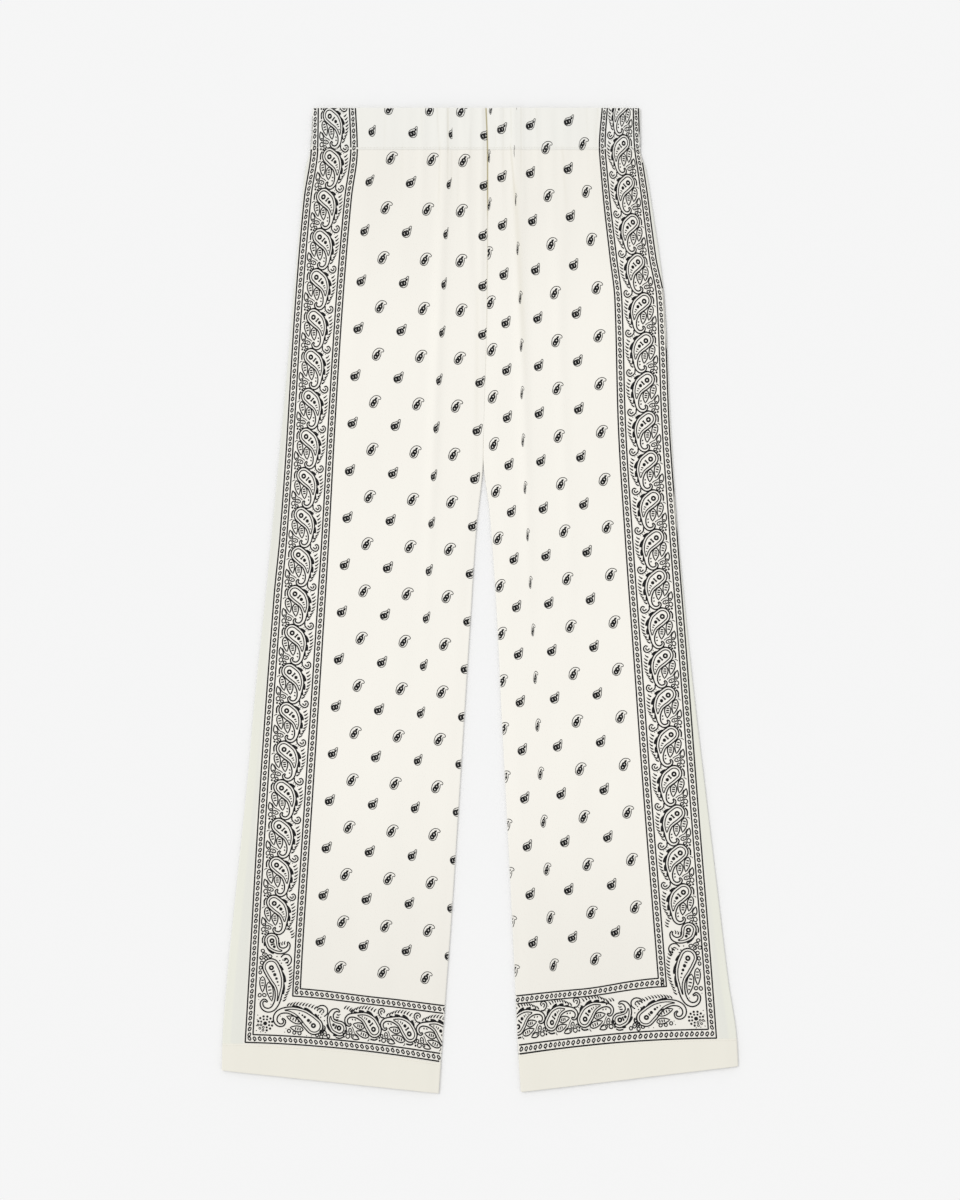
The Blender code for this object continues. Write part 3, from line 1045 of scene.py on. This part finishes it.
# The field's small teardrop in its two poses: its rows, and the size and turn of its two spots.
Teardrop = namedtuple("Teardrop", "rows spots across along turn")
UPRIGHT = Teardrop(
    [(0.1, -0.3, 4.6), (1.2, -1.5, 4.4), (2.9, -3.6, 2.7), (4.2, -5.6, 1.4), (5.0, -8.0, 0.8)],
    [(-1.4, 0.2), (1.0, -0.6)], 1.75, 2.2, -15.0,
)
CURLED = Teardrop(
    [(-1.6, 2.5, 4.2), (-0.6, -0.6, 4.5), (1.4, -3.6, 3.5), (4.0, -4.5, 1.8), (6.4, -3.2, 0.8)],
    [(-1.9, 2.7), (-0.3, 0.1)], 1.75, 2.1, 20.0,
)


DROP_LINE = 0.6
SPOT_LINE = 1.55
KNOT_PLACE = 0.6
KNOT_BEHIND = 2.0
KNOT_AHEAD = 1.8
KNOT_WIDTH = 2.4


def field_motif(drop):
    """An outline, and a dark heart with two light spots."""
    ink = Ink()
    shape = Paisley(drop.rows)
    ink.stroke(shape.outline(0.0, 1.2), DROP_LINE, closed=True)
    for spot in drop.spots:
        ink.stroke(ring_path(spot, drop.across, drop.along, drop.turn), SPOT_LINE, closed=True)
    knot, forward, _ = shape.place(KNOT_PLACE)
    tip = knot + forward * KNOT_AHEAD
    ink.fill(leaf_path(knot - forward * KNOT_BEHIND, tip, KNOT_WIDTH, 4))
    return ink


# ---------------------------------------------------------------- laying the print on a leg

def eye_level(leg, unit):
    """The level of a unit's eye; units are counted up from the corner, and may be fractions."""
    plan = leg.plan
    return plan.eye_level - plan.pitch * unit - plan.growth * unit * np.abs(unit)


def hem_top_at(leg, into_field):
    return leg.plan.hem_top + leg.plan.hem_sag * within(HEM_SAG, into_field)


def hidden_cloth(leg, into_field, level):
    taken = np.zeros_like(into_field)
    for tuck in leg.tucks:
        along = np.clip((level - tuck.top_level) / (tuck.low_level - tuck.top_level), 0.0, 1.0)
        take = tuck.top_take + (tuck.low_take - tuck.top_take) * along
        taken += take * ease((into_field - tuck.place) / (2.0 * tuck.half) + 0.5)
    return taken


class Print(Ink):
    """The marks of one side of one leg; their points are (distance into the field, level)."""

    edge = 0.0005
    end = 0.3

    def __init__(self, surface):
        super().__init__()
        self.surface = surface
        self.leg = surface.leg

    def on_side(self, motif, unit, shift=0.0):
        """A motif in the side's border, shifted towards the field."""
        points, triangles = motif.arrays()
        level = eye_level(self.leg, unit - points[:, 1] / UNIT)
        width = read(self.leg.band, "width", level)
        into_field = (points[:, 0] + shift - EYE_INSET) * width / BAND
        self.add(np.stack([into_field, level], axis=1), triangles)

    def on_hem(self, motif, eye, shift=0.0):
        """A motif in the hem's border, shifted away from the hem."""
        points, triangles = motif.arrays()
        into_field = eye - points[:, 1] * HEM_STEP / UNIT
        height = self.leg.plan.hem_bottom - hem_top_at(self.leg, into_field)
        above = (BAND - EYE_INSET + (points[:, 0] + shift)) / BAND * height
        self.add(np.stack([into_field, self.leg.plan.hem_bottom - above], axis=1), triangles)

    def freely(self, motif, place, level, across=(1.0, 0.0), along=(0.0, 1.0)):
        """A motif by the distance into the field and the level of its own origin."""
        points, triangles = motif.arrays()
        moved = np.array([place, level]) + points[:, :1] * across + points[:, 1:] * along
        self.add(moved, triangles)

    def piece(self, name, material):
        """The marks that fall on the cloth, as one mesh that lies on it."""
        leg = self.leg
        surface = self.surface
        points, triangles = self.arrays()
        into_field, level = points.T
        shown = into_field - hidden_cloth(leg, into_field, level) if surface.is_front else into_field
        x = read(leg.band, "line_x", level) + leg.inward * shown
        side_x, inner_x = edges_at(leg, level)
        share = (x - side_x) / (inner_x - side_x)
        last_level = surface.levels[-1]
        middle_share = share[triangles].mean(axis=1)
        middle_level = level[triangles].mean(axis=1)
        inside = (middle_share > 0.0) & (middle_share < 1.0)
        inside &= (middle_level > 0.0) & (middle_level < last_level)
        used, places = np.unique(triangles[inside], return_inverse=True)
        triangles = places.reshape(-1, 3)
        share = np.clip(share[used], self.edge, 1.0 - self.edge)
        level = np.clip(level[used], self.end, last_level - self.end)
        points = surface.at(share, level, INK_LIFT)
        corners = points[triangles]
        normal = np.cross(corners[:, 1] - corners[:, 0], corners[:, 2] - corners[:, 0])
        wrong = normal[:, 2] * surface.outward < 0.0
        triangles[wrong] = triangles[wrong][:, ::-1]
        piece = add_mesh(name, points, triangles.tolist(), material)
        return piece


def draw_chain(print_, links, inset):
    """One chain band round the border: down the side and across the hem."""
    leg = print_.leg
    middle = inset + CHAIN / 2
    shift = EYE_INSET - middle
    top_unit = leg.plan.units + 1
    corner = leg.plan.hem_bottom - (BAND - middle) * CHAIN_CORNER
    index = 0
    unit = top_unit - 0.5 / LINKS_PER_UNIT
    while eye_level(leg, unit) <= corner - CHAIN_END_GAP:
        print_.on_side(links["side"][index % 2], unit, shift)
        index += 1
        unit = top_unit - (index + 0.5) / LINKS_PER_UNIT
    step = HEM_STEP / LINKS_PER_UNIT
    corner_place = -middle * float(read(leg.band, "width", HEM_LEVEL)) / BAND
    for index in range(int((HEM_REACH - corner_place) / step)):
        print_.on_hem(links["hem"][index % 2], corner_place + step * index, shift)


SIDE_LINE_POINTS = 340
HEM_LINE_POINTS = 90
LINE_LAP = 0.35


def draw_lines(print_):
    """The four lines of the border, down the side and across the hem."""
    leg = print_.leg
    bottom = leg.plan.hem_bottom
    width = float(read(leg.band, "width", HEM_LEVEL))
    for inset in (0.0, CHAIN, BAND - CHAIN, BAND):
        share_up = (BAND - inset) / BAND
        corner = np.array(-inset * width / BAND)
        end = float(bottom - share_up * (bottom - hem_top_at(leg, corner)))
        levels = np.linspace(0.0, end, SIDE_LINE_POINTS)
        places = -inset / BAND * read(leg.band, "width", levels)
        print_.stroke(np.stack([places, levels], axis=1), BORDER_LINE)
        places = np.linspace(places[-1] - LINE_LAP, HEM_REACH, HEM_LINE_POINTS)
        levels = bottom - share_up * (bottom - hem_top_at(leg, places))
        print_.stroke(np.stack([places, levels], axis=1), BORDER_LINE)


# The corner's motifs by their eyes: how far into the field and above the border's bottom each lies,
# and how much of the corner's rise moves it.  The two side ones are placed from the side border's eyes.
CornerEye = namedtuple("CornerEye", "place above place_rise above_rise")
VERTICAL_EYE = CornerEye(1.0, 84.9, 0.0, 1.0)
SIDE_SMALL_EYE = CornerEye(0.0, 115.4, -0.4, 1.2)
HORIZONTAL_EYE = CornerEye(16.4, 22.4, 0.0, 0.5)
HEM_SMALL_EYE = CornerEye(44.8, 22.0, 0.0, 0.4)
ROSETTE_PLACE = -37.6
ROSETTE_ABOVE = 21.8
STRETCH_LENGTH = 60.0


def draw_corner(print_):
    """Two large paisleys that meet in the corner, a small one beside each, and the flower."""
    plan = print_.leg.plan
    rise = plan.corner_rise
    width = float(read(print_.leg.band, "width", CORNER_LEVEL)) / BAND
    side_eye = -EYE_INSET * width
    small = small_paisley_motif()

    def put(motif, start, eye, across=(1.0, 0.0), along=(0.0, 1.0)):
        place = start + eye.place + eye.place_rise * rise
        level = plan.hem_bottom - eye.above - eye.above_rise * rise
        print_.freely(motif, place, level, across, along)

    longer = (0.0, 1.0 + rise / STRETCH_LENGTH)
    put(vertical_corner_motif(), side_eye, VERTICAL_EYE, (width, 0.0), longer)
    put(small, side_eye, SIDE_SMALL_EYE, (width, 0.0))
    put(horizontal_corner_motif(), 0.0, HORIZONTAL_EYE, (0.0, -1.0), (-1.0, 0.0))
    put(small, 0.0, HEM_SMALL_EYE, (0.0, -1.05), (-0.95, 0.0))
    print_.freely(rosette_motif(), ROSETTE_PLACE * width, plan.hem_bottom - ROSETTE_ABOVE)


def draw_border(print_, motifs):
    plan = print_.leg.plan
    for unit in range(plan.units + 1):
        print_.on_side(motifs["unit"], unit)
    for index in range(HEM_UNITS):
        print_.on_hem(motifs["unit"], plan.hem_eye + HEM_STEP * index, 0.5 * plan.corner_rise)
    draw_chain(print_, motifs["links"], 0.0)
    draw_chain(print_, motifs["links"], BAND - CHAIN)
    draw_lines(print_)
    draw_corner(print_)


def row_level(plan, row):
    """The level of a row of the field; the rows lie a little wider apart near the waist."""
    widening = (plan.top_row_pitch - plan.row_pitch) * min(row, WIDENED_ROWS)
    return plan.first_row + plan.row_pitch * row + widening


def draw_field(print_, drops):
    """Small teardrops in columns, every second column half a row lower."""
    leg = print_.leg
    to_right = leg.inward * print_.surface.outward
    for column in range(FIELD_COLUMNS):
        into_field = FIRST_COLUMN + FIELD_COLUMN * column
        is_half = (column % 2 == 0) != leg.plan.even_near
        limit = float(hem_top_at(leg, np.array(into_field))) - FIELD_MARGIN
        fall = (into_field - FIRST_COLUMN) / FALL_REACH
        for row in FIELD_ROWS:
            level = row_level(leg.plan, row + (0.5 if is_half else 0.0))
            level += float(read(leg.fall, "drop", np.clip(level, 0.0, CORNER_LEVEL))) * fall
            if HIGHEST_ROW <= level <= limit:
                print_.freely(drops[is_half], into_field, level, (to_right, 0.0))


# ---------------------------------------------------------------- stitches

STITCH_LENGTH = 2.6
STITCH_PITCH = 3.5
STITCH_LIFT = 0.05
STITCH_SIDES = 5
THREAD = 0.4
CASING_ROW = -2.2
HEM_ROW = 2.0
# The stitched width at the waist, and how much it grows for each metre down.
STITCHED_WIDTH = 200.0
STITCHED_FLARE = 40.0


def stitch_rows(name, rows, material):
    """Rows of stitches as thin beads; each row is (surface, level)."""
    points = []
    faces = []
    angles = np.linspace(0.0, 2.0 * math.pi, STITCH_SIDES, endpoint=False)
    for surface, level in rows:
        width = STITCHED_WIDTH + STITCHED_FLARE * level / 1000.0
        count = int(width / STITCH_PITCH)
        half = STITCH_LENGTH / 2 / width
        up = np.array([0.0, 0.0, surface.outward])
        for index in range(count):
            share = (index + 0.5) / count + half * np.array([-1.0, -0.6, 0.6, 1.0])
            spine = surface.at(np.clip(share, 0.002, 0.998), np.full(4, level), STITCH_LIFT)
            over = np.cross(unit_vectors(spine[3] - spine[0]), up)
            start = len(points)
            near = start + 1
            far = near + STITCH_SIDES
            end = far + STITCH_SIDES
            points.append(spine[0])
            for centre in spine[1:3]:
                for angle in angles:
                    reach = over * math.cos(angle) + up * math.sin(angle) * 0.6
                    points.append(centre + reach * THREAD / 2)
            points.append(spine[3])
            for side in range(STITCH_SIDES):
                after = (side + 1) % STITCH_SIDES
                faces.append((start, near + side, near + after))
                faces.append((near + side, far + side, far + after, near + after))
                faces.append((end, far + after, far + side))
    piece = add_mesh(name, np.array(points), faces, material)
    return piece


# ---------------------------------------------------------------- materials

TWILL_SCALE = 330.0
SLUB_SCALE = 900.0


def new_material(name):
    material = bpy.data.materials.new(name)
    material.use_nodes = True
    tree = material.node_tree
    return material, tree, tree.nodes["Principled BSDF"]


def add_node(tree, kind, **values):
    """A shader node with some of its inputs set."""
    node = tree.nodes.new(f"ShaderNode{kind}")
    for socket, value in values.items():
        node.inputs[socket.replace("_", " ")].default_value = value
    return node


def add_ramp(tree, first, second):
    ramp = add_node(tree, "ValToRGB")
    ramp.color_ramp.elements[0].color = (*first, 1.0)
    ramp.color_ramp.elements[1].color = (*second, 1.0)
    return ramp


def connect(tree, *joins):
    """Each join is (node, its output, next node, its input)."""
    for node, output, next_node, socket in joins:
        tree.links.new(node.outputs[output], next_node.inputs[socket])


def add_weave(tree, shader, strength):
    """Diagonal twill lines and slubs as bump."""
    place = add_node(tree, "TexCoord")
    turn = add_node(tree, "Mapping", Rotation=(0.0, 0.0, math.radians(52.0)))
    twill = add_node(tree, "TexWave", Scale=TWILL_SCALE, Distortion=1.2, Detail=1.0)
    slub = add_node(tree, "TexNoise", Scale=SLUB_SCALE)
    mix = add_node(tree, "Mix", Factor=0.35)
    bump = add_node(tree, "Bump", Strength=strength, Distance=0.00006)
    connect(
        tree,
        (place, "Object", turn, "Vector"),
        (turn, "Vector", twill, "Vector"),
        (place, "Object", slub, "Vector"),
        (twill, "Fac", mix, "A"),
        (slub, "Fac", mix, "B"),
        (mix, "Result", bump, "Height"),
        (bump, "Normal", shader, "Normal"),
    )
    return place


def cloth_material(name, base_roughness):
    """Soft satin-faced twill, a little uneven in tone and sheen."""
    material, tree, shader = new_material(name)
    place = add_weave(tree, shader, 0.5)
    # The per-point colour, which includes painted shade in the creases and beside the centre seam.
    tone = add_node(tree, "VertexColor")
    tone.layer_name = "tone"
    cloud = add_node(tree, "TexNoise", Scale=9.0, Detail=3.0)
    shade = add_node(tree, "MapRange", To_Min=0.985, To_Max=1.012)
    varied = add_node(tree, "Mix")
    varied.data_type = "RGBA"
    varied.blend_type = "MULTIPLY"
    varied.inputs["Factor"].default_value = 1.0
    rough = add_node(tree, "MapRange", To_Min=base_roughness - 0.05, To_Max=base_roughness + 0.07)
    connect(
        tree,
        (place, "Object", cloud, "Vector"),
        (cloud, "Fac", shade, "Value"),
        (cloud, "Fac", rough, "Value"),
        (tone, "Color", varied, "A"),
        (shade, "Result", varied, "B"),
        (varied, "Result", shader, "Base Color"),
        (rough, "Result", shader, "Roughness"),
    )
    shader.inputs["Specular IOR Level"].default_value = 0.25
    shader.inputs["Sheen Weight"].default_value = 0.05
    shader.inputs["Sheen Roughness"].default_value = 0.6
    return material


def ink_material():
    """Matt black, a little worn."""
    material, tree, shader = new_material("ink")
    place = add_weave(tree, shader, 0.4)
    cloud = add_node(tree, "TexNoise", Scale=260.0)
    ramp = add_ramp(tree, (0.004, 0.004, 0.005), (0.018, 0.018, 0.019))
    connect(
        tree,
        (place, "Object", cloud, "Vector"),
        (cloud, "Fac", ramp, "Fac"),
        (ramp, "Color", shader, "Base Color"),
    )
    shader.inputs["Roughness"].default_value = 0.8
    shader.inputs["Specular IOR Level"].default_value = 0.15
    return material


def thread_material():
    material, tree, shader = new_material("thread")
    place = add_node(tree, "TexCoord")
    twist = add_node(tree, "TexWave", Scale=500.0)
    ramp = add_ramp(tree, linear(226, 223, 211), linear(240, 237, 226))
    connect(
        tree,
        (place, "Object", twist, "Vector"),
        (twist, "Fac", ramp, "Fac"),
        (ramp, "Color", shader, "Base Color"),
    )
    shader.inputs["Roughness"].default_value = 0.6
    return material


# ---------------------------------------------------------------- putting the trousers together

# The cut is a little larger than what shows, since the cloth lies in folds.
CUT_EASE = 1.06


def flat_area(leg, first_level, last_level):
    """The area of a stretch of one side of a leg, in square metres."""
    levels = np.linspace(first_level, last_level, 200)
    left, left_down = on_leg(leg, 0.0, levels)
    right, right_down = on_leg(leg, 1.0, levels)
    depth = (np.gradient(left_down) + np.gradient(right_down)) / 2
    return float((np.abs(right - left) * depth).sum()) * MM * MM


def declare_sheet(leg, levels):
    area = flat_area(leg, levels[0], levels[1]) * CUT_EASE
    side_x, inner_x = edges_at(leg, np.array(levels))


def add_side(leg, is_front, materials, motifs):
    """The casing, panel, hem and print of the front or back of one leg."""
    surface = Surface(leg, is_front)
    printed = Print(surface)
    draw_border(printed, motifs)
    draw_field(printed, motifs["field"])
    print_name = f"print_front_{leg.side}" if is_front else f"print_back_{leg.side}"
    print_piece = printed.piece(print_name, materials["ink"])
    for stretch in stretches(surface):
        cloth = add_cloth(surface, stretch, materials[stretch.slot])
        declare_sheet(leg, stretch.levels)
    return surface


def build_trousers():
    materials = {
        "printed_cloth": cloth_material("printed_cloth", 0.62),
        "hem_cloth": cloth_material("hem_cloth", 0.6),
        "ink": ink_material(),
    }
    motifs = {
        "unit": unit_motif(),
        "links": {
            "side": [link_motif(30.0, facing) for facing in (1.0, -1.0)],
            "hem": [link_motif(-40.0, facing) for facing in (1.0, -1.0)],
        },
        "field": {True: field_motif(UPRIGHT), False: field_motif(CURLED)},
    }
    thread = thread_material()
    for is_front, face in ((False, "back"), (True, "front")):
        rows = []
        for leg in (RIGHT, LEFT):
            surface = add_side(leg, is_front, materials, motifs)
            rows.append((surface, CASING_DEPTH + CASING_ROW))
            rows.append((surface, leg.hem_line + HEM_ROW))
        stitch_rows(f"stitches_{face}", rows, thread)


# ---------------------------------------------------------------- floor, light and camera

# These lengths are in metres.
FRAME_HEIGHT = 1.332
CAMERA_Y = 0.0008
FLOOR_HALF = 6.0
FLOOR_DROP = -0.0004
FLOOR_TONE = 0.88
LENS = 85.0
SENSOR = 36.0
SKY_STRENGTH = 0.82
SUN_TOWARD = Vector((-0.7, 0.5, 1.2))
SUN_SPREAD = 24.0
SUN_STRENGTH = 0.865


def add_floor():
    mesh = bpy.data.meshes.new("floor")
    signs = ((-1.0, -1.0), (1.0, -1.0), (1.0, 1.0), (-1.0, 1.0))
    corners = [(FLOOR_HALF * x, FLOOR_HALF * y, FLOOR_DROP) for x, y in signs]
    mesh.from_pydata(corners, [], [(0, 1, 2, 3)])
    floor = link_object("floor", mesh)
    material, _, shader = new_material("floor")
    shader.inputs["Base Color"].default_value = (FLOOR_TONE, FLOOR_TONE, FLOOR_TONE, 1.0)
    shader.inputs["Roughness"].default_value = 0.9
    shader.inputs["Specular IOR Level"].default_value = 0.0
    mesh.materials.append(material)


def add_light():
    world = bpy.data.worlds.new("studio")
    bpy.context.scene.world = world
    world.use_nodes = True
    sky = world.node_tree.nodes["Background"]
    sky.inputs["Color"].default_value = (1.0, 1.0, 1.0, 1.0)
    sky.inputs["Strength"].default_value = SKY_STRENGTH
    sun = bpy.data.lights.new("key", "SUN")
    sun.angle = math.radians(SUN_SPREAD)
    sun.energy = SUN_STRENGTH
    link_object("key", sun).rotation_euler = (-SUN_TOWARD).to_track_quat("-Z", "Y").to_euler()


def add_camera():
    data = bpy.data.cameras.new("camera")
    data.lens = LENS
    data.sensor_width = SENSOR
    data.clip_start = 0.1
    data.clip_end = 50.0
    camera = link_object("camera", data)
    camera.location = (0.0, CAMERA_Y, FRAME_HEIGHT * LENS / SENSOR)
    bpy.context.scene.camera = camera


def main():
    bpy.context.scene.view_settings.view_transform = "Standard"
    add_camera()
    add_floor()
    add_light()
    build_trousers()


main()
